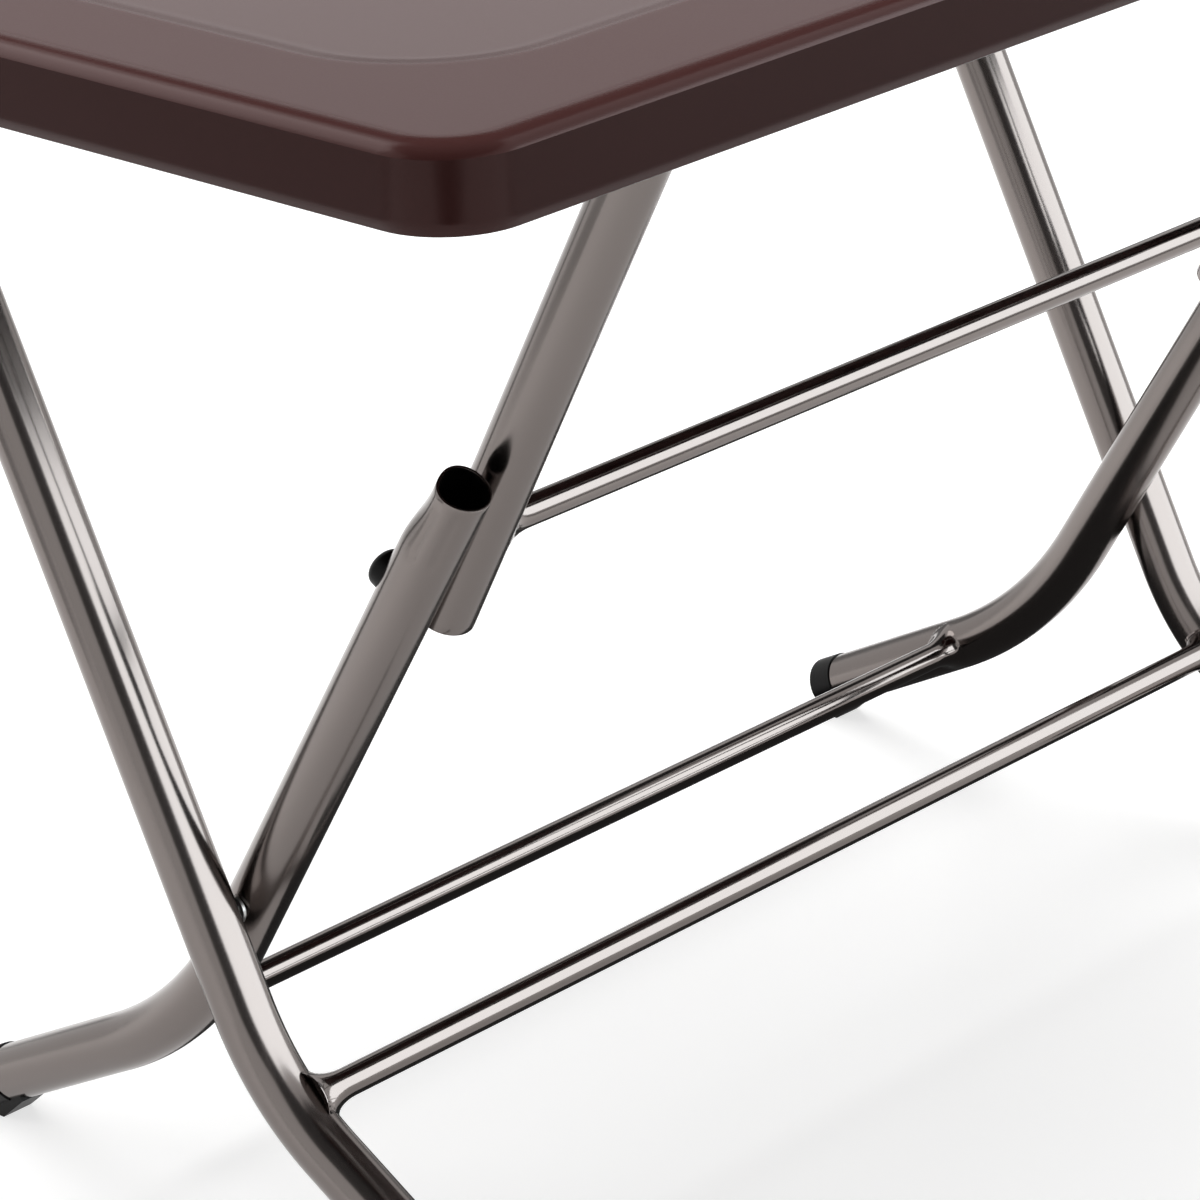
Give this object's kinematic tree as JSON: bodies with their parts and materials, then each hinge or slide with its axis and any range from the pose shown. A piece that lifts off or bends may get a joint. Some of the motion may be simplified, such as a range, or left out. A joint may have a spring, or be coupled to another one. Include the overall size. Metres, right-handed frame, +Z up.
{
  "type": "folding table",
  "caption": "Folding table: a moulded rectangular top with an apron, on crossed bent steel tubes with a jointed front pair, crossbars and capped feet, that fold flat under the top.",
  "frame": {"origin": "on the floor, under the middle of the top, with the table open", "axes": "+X from the rear feet to the front feet, across the legs' X; +Y along the crossbars, from the near side in the picture to the far side; +Z up"},
  "size_m": [0.72, 1.1, 0.708],
  "materials": {
    "brown_plastic": "smooth, half gloss",
    "plated_steel": "bright plated",
    "zinc_steel": "zinc plated",
    "black_plastic": "satin"
  },
  "bodies": {
    "top": {"table_top": "brown_plastic", "front_rail": "zinc_steel", "rear_rail": "zinc_steel", "front_rail_screw_1": "zinc_steel", "front_rail_screw_2": "zinc_steel", "front_rail_screw_3": "zinc_steel", "front_rail_screw_4": "zinc_steel", "rear_rail_screw_1": "zinc_steel", "rear_rail_screw_2": "zinc_steel", "rear_rail_screw_3": "zinc_steel", "rear_rail_screw_4": "zinc_steel", "front_hinge_block_near": "black_plastic", "front_hinge_block_far": "black_plastic", "front_hinge_strap_near": "black_plastic", "front_hinge_strap_far": "black_plastic", "front_strap_screw_1": "zinc_steel", "front_strap_screw_2": "zinc_steel", "front_strap_screw_3": "zinc_steel", "front_strap_screw_4": "zinc_steel", "rear_saddle_near": "black_plastic", "rear_saddle_far": "black_plastic", "rear_saddle_screw_1": "zinc_steel", "rear_saddle_screw_2": "zinc_steel", "rear_saddle_screw_3": "zinc_steel", "rear_saddle_screw_4": "zinc_steel"},
    "upper_frame": {"upper_tube_near": "plated_steel", "upper_tube_far": "plated_steel", "upper_hinge_rod": "plated_steel", "knee_bar": "plated_steel", "knee_rivet_near": "zinc_steel", "knee_rivet_far": "zinc_steel", "knee_washer_near": "zinc_steel", "knee_washer_far": "zinc_steel"},
    "lower_frame": {"lower_tube_near": "plated_steel", "lower_tube_far": "plated_steel", "rear_foot_bar": "plated_steel", "lower_button_near": "black_plastic", "lower_button_far": "black_plastic", "rear_foot_cap_near": "black_plastic", "rear_foot_cap_far": "black_plastic", "cross_rivet_near": "zinc_steel", "cross_rivet_far": "zinc_steel", "cross_washer_near": "zinc_steel", "cross_washer_far": "zinc_steel"},
    "outer_frame": {"outer_leg_near": "plated_steel", "outer_leg_far": "plated_steel", "rear_rod": "plated_steel", "front_foot_bar": "plated_steel", "front_foot_cap_near": "black_plastic", "front_foot_cap_far": "black_plastic"}
  },
  "joints": [
    {"name": "front_hinge", "type": "hinge", "parent": "top", "child": "upper_frame", "pos_m": [0.25704, 0, 0.6395], "axis": [0, 1, 0], "range_deg": [0, 59]},
    {"name": "knee", "type": "hinge", "parent": "upper_frame", "child": "lower_frame", "pos_m": [0.1375, 0, 0.4175], "axis": [0, -1, 0], "range_deg": [0, 179.5]},
    {"name": "crossing", "type": "hinge", "parent": "lower_frame", "child": "outer_frame", "pos_m": [0, 0, 0.1915], "axis": [0, 1, 0], "range_deg": [0, 57]}
  ],
  "couplings": [
    {"joint": "knee", "follows": "front_hinge", "ratio": 3.037},
    {"joint": "crossing", "follows": "front_hinge", "ratio": 0.9604}
  ]
}
